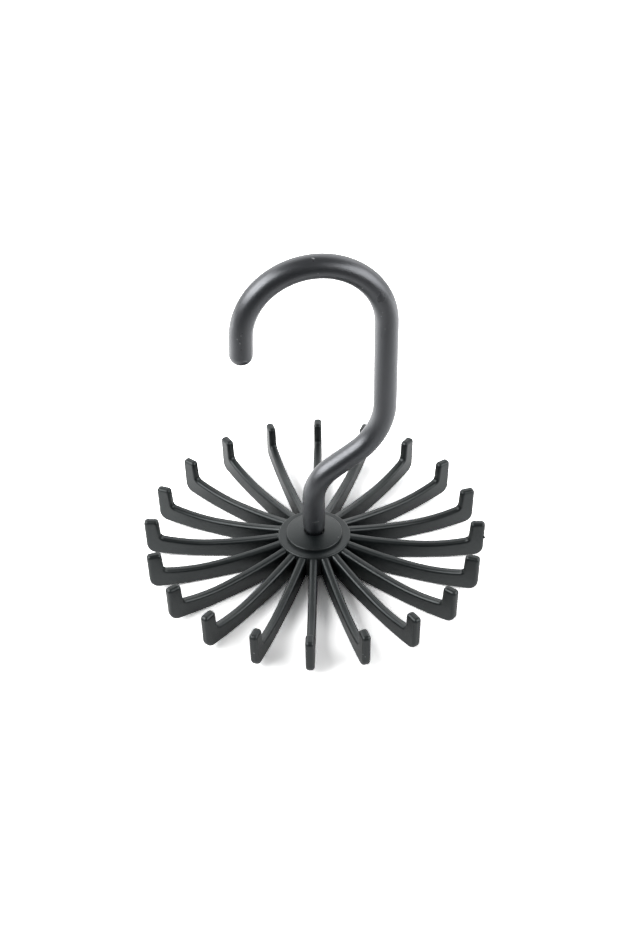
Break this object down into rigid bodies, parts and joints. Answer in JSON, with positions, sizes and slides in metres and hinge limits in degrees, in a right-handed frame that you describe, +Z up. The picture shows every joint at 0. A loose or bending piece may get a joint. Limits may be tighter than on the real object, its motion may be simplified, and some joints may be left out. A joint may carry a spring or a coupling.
{
  "type": "revolving tie hanger",
  "caption": "Revolving tie hanger: a round-rod closet hook over a hub with a ring of radial arms that end in upturned fingers; the ring of arms swivels freely under the hook.",
  "frame": {"origin": "on the swivel axis, at the level of the table that the arms stand on", "axes": "+Z up along the swivel axis; +X from the axis towards the hook's straight side run; the hook lies in the XZ plane with its free end on the -X side"},
  "size_m": [0.1102, 0.1102, 0.1141],
  "materials": {
    "hook_plastic": "satin black moulded plastic with a fine grain",
    "spider_plastic": "satin black moulded plastic with a fine grain"
  },
  "bodies": {
    "hook": {"hook": "hook_plastic"},
    "spider": {"hub": "spider_plastic", "arm_01": "spider_plastic", "arm_02": "spider_plastic", "arm_03": "spider_plastic", "arm_04": "spider_plastic", "arm_05": "spider_plastic", "arm_06": "spider_plastic", "arm_07": "spider_plastic", "arm_08": "spider_plastic", "arm_09": "spider_plastic", "arm_10": "spider_plastic", "arm_11": "spider_plastic", "arm_12": "spider_plastic", "arm_13": "spider_plastic", "arm_14": "spider_plastic", "arm_15": "spider_plastic", "arm_16": "spider_plastic", "arm_17": "spider_plastic", "arm_18": "spider_plastic", "arm_19": "spider_plastic", "arm_20": "spider_plastic"}
  },
  "joints": [
    {"name": "arms_spin", "type": "hinge", "parent": "hook", "child": "spider", "pos_m": [0, 0, 0], "axis": [0, 0, 1], "continuous": true}
  ]
}
